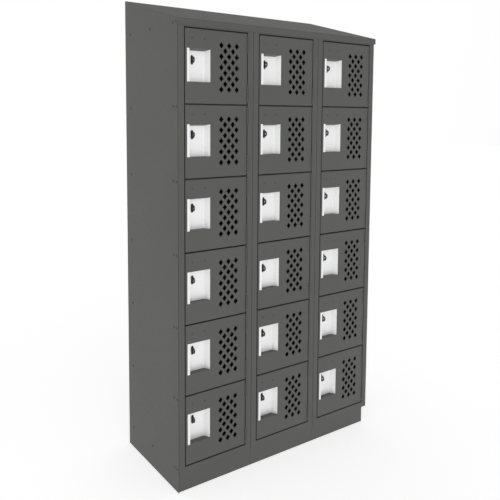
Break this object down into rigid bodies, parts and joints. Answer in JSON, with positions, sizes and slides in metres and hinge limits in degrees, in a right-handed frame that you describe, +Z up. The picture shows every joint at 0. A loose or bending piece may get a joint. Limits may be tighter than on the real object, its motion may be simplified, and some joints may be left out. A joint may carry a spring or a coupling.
{
  "type": "locker cabinet",
  "caption": "Bank of ventilated steel box lockers with recessed padlock hasps on the hinged doors, a closed base and a sloping hood.",
  "frame": {"origin": "on the floor, at the middle of the overall width and depth", "axes": "+Z up; +X to the right as seen from the front; +Y to the back, so the doors face -Y"},
  "size_m": [0.9234, 0.3848, 1.7051],
  "materials": {
    "powder_coat": "satin charcoal powder coat",
    "end_panel_paint": "satin charcoal powder coat",
    "door_paint": "satin charcoal powder coat",
    "interior_paint": "satin charcoal powder coat",
    "stainless": "fine brushed stainless steel",
    "staple_steel": "dark zinc-plated steel",
    "hinge_pin_steel": "drawn steel",
    "bolt_steel": "painted bolts and nuts",
    "bumper_rubber": "matt black rubber"
  },
  "bodies": {
    "carcass": {"frame_c1": "powder_coat", "frame_c2": "powder_coat", "frame_c3": "powder_coat", "back_c1": "interior_paint", "back_c2": "interior_paint", "back_c3": "interior_paint", "shelves_c1": "interior_paint", "shelves_c2": "interior_paint", "shelves_c3": "interior_paint", "side_sheet_left": "powder_coat", "partition_c1c2": "powder_coat", "partition_c2c3": "powder_coat", "side_sheet_right": "powder_coat", "end_panel_left": "end_panel_paint", "hood": "powder_coat", "hood_end_cap": "powder_coat", "hood_gussets": "interior_paint", "base_fronts": "powder_coat", "base_frame": "powder_coat", "hasp_staples": "staple_steel", "door_bumpers": "bumper_rubber", "hinge_frame_leaves": "powder_coat", "hinge_pins": "hinge_pin_steel", "carcass_bolts": "bolt_steel"},
    "door_r1c1_body": {"door_r1c1": "door_paint", "cup_r1c1": "stainless"},
    "door_r1c2_body": {"door_r1c2": "door_paint", "cup_r1c2": "stainless"},
    "door_r1c3_body": {"door_r1c3": "door_paint", "cup_r1c3": "stainless"},
    "door_r2c1_body": {"door_r2c1": "door_paint", "cup_r2c1": "stainless"},
    "door_r2c2_body": {"door_r2c2": "door_paint", "cup_r2c2": "stainless"},
    "door_r2c3_body": {"door_r2c3": "door_paint", "cup_r2c3": "stainless"},
    "door_r3c1_body": {"door_r3c1": "door_paint", "cup_r3c1": "stainless"},
    "door_r3c2_body": {"door_r3c2": "door_paint", "cup_r3c2": "stainless"},
    "door_r3c3_body": {"door_r3c3": "door_paint", "cup_r3c3": "stainless"},
    "door_r4c1_body": {"door_r4c1": "door_paint", "cup_r4c1": "stainless"},
    "door_r4c2_body": {"door_r4c2": "door_paint", "cup_r4c2": "stainless"},
    "door_r4c3_body": {"door_r4c3": "door_paint", "cup_r4c3": "stainless"},
    "door_r5c1_body": {"door_r5c1": "door_paint", "cup_r5c1": "stainless"},
    "door_r5c2_body": {"door_r5c2": "door_paint", "cup_r5c2": "stainless"},
    "door_r5c3_body": {"door_r5c3": "door_paint", "cup_r5c3": "stainless"},
    "door_r6c1_body": {"door_r6c1": "door_paint", "cup_r6c1": "stainless"},
    "door_r6c2_body": {"door_r6c2": "door_paint", "cup_r6c2": "stainless"},
    "door_r6c3_body": {"door_r6c3": "door_paint", "cup_r6c3": "stainless"}
  },
  "joints": [
    {"name": "door_r1c1_hinge", "type": "hinge", "parent": "carcass", "child": "door_r1c1_body", "pos_m": [-0.17855, -0.1898, 1.441], "axis": [0, 0, 1], "range_deg": [0, 110]},
    {"name": "door_r1c2_hinge", "type": "hinge", "parent": "carcass", "child": "door_r1c2_body", "pos_m": [0.12625, -0.1898, 1.441], "axis": [0, 0, 1], "range_deg": [0, 110]},
    {"name": "door_r1c3_hinge", "type": "hinge", "parent": "carcass", "child": "door_r1c3_body", "pos_m": [0.43105, -0.1898, 1.441], "axis": [0, 0, 1], "range_deg": [0, 110]},
    {"name": "door_r2c1_hinge", "type": "hinge", "parent": "carcass", "child": "door_r2c1_body", "pos_m": [-0.17855, -0.1898, 1.195], "axis": [0, 0, 1], "range_deg": [0, 110]},
    {"name": "door_r2c2_hinge", "type": "hinge", "parent": "carcass", "child": "door_r2c2_body", "pos_m": [0.12625, -0.1898, 1.195], "axis": [0, 0, 1], "range_deg": [0, 110]},
    {"name": "door_r2c3_hinge", "type": "hinge", "parent": "carcass", "child": "door_r2c3_body", "pos_m": [0.43105, -0.1898, 1.195], "axis": [0, 0, 1], "range_deg": [0, 110]},
    {"name": "door_r3c1_hinge", "type": "hinge", "parent": "carcass", "child": "door_r3c1_body", "pos_m": [-0.17855, -0.1898, 0.949], "axis": [0, 0, 1], "range_deg": [0, 110]},
    {"name": "door_r3c2_hinge", "type": "hinge", "parent": "carcass", "child": "door_r3c2_body", "pos_m": [0.12625, -0.1898, 0.949], "axis": [0, 0, 1], "range_deg": [0, 110]},
    {"name": "door_r3c3_hinge", "type": "hinge", "parent": "carcass", "child": "door_r3c3_body", "pos_m": [0.43105, -0.1898, 0.949], "axis": [0, 0, 1], "range_deg": [0, 110]},
    {"name": "door_r4c1_hinge", "type": "hinge", "parent": "carcass", "child": "door_r4c1_body", "pos_m": [-0.17855, -0.1898, 0.703], "axis": [0, 0, 1], "range_deg": [0, 110]},
    {"name": "door_r4c2_hinge", "type": "hinge", "parent": "carcass", "child": "door_r4c2_body", "pos_m": [0.12625, -0.1898, 0.703], "axis": [0, 0, 1], "range_deg": [0, 110]},
    {"name": "door_r4c3_hinge", "type": "hinge", "parent": "carcass", "child": "door_r4c3_body", "pos_m": [0.43105, -0.1898, 0.703], "axis": [0, 0, 1], "range_deg": [0, 110]},
    {"name": "door_r5c1_hinge", "type": "hinge", "parent": "carcass", "child": "door_r5c1_body", "pos_m": [-0.17855, -0.1898, 0.457], "axis": [0, 0, 1], "range_deg": [0, 110]},
    {"name": "door_r5c2_hinge", "type": "hinge", "parent": "carcass", "child": "door_r5c2_body", "pos_m": [0.12625, -0.1898, 0.457], "axis": [0, 0, 1], "range_deg": [0, 110]},
    {"name": "door_r5c3_hinge", "type": "hinge", "parent": "carcass", "child": "door_r5c3_body", "pos_m": [0.43105, -0.1898, 0.457], "axis": [0, 0, 1], "range_deg": [0, 110]},
    {"name": "door_r6c1_hinge", "type": "hinge", "parent": "carcass", "child": "door_r6c1_body", "pos_m": [-0.17855, -0.1898, 0.211], "axis": [0, 0, 1], "range_deg": [0, 110]},
    {"name": "door_r6c2_hinge", "type": "hinge", "parent": "carcass", "child": "door_r6c2_body", "pos_m": [0.12625, -0.1898, 0.211], "axis": [0, 0, 1], "range_deg": [0, 110]},
    {"name": "door_r6c3_hinge", "type": "hinge", "parent": "carcass", "child": "door_r6c3_body", "pos_m": [0.43105, -0.1898, 0.211], "axis": [0, 0, 1], "range_deg": [0, 110]}
  ]
}
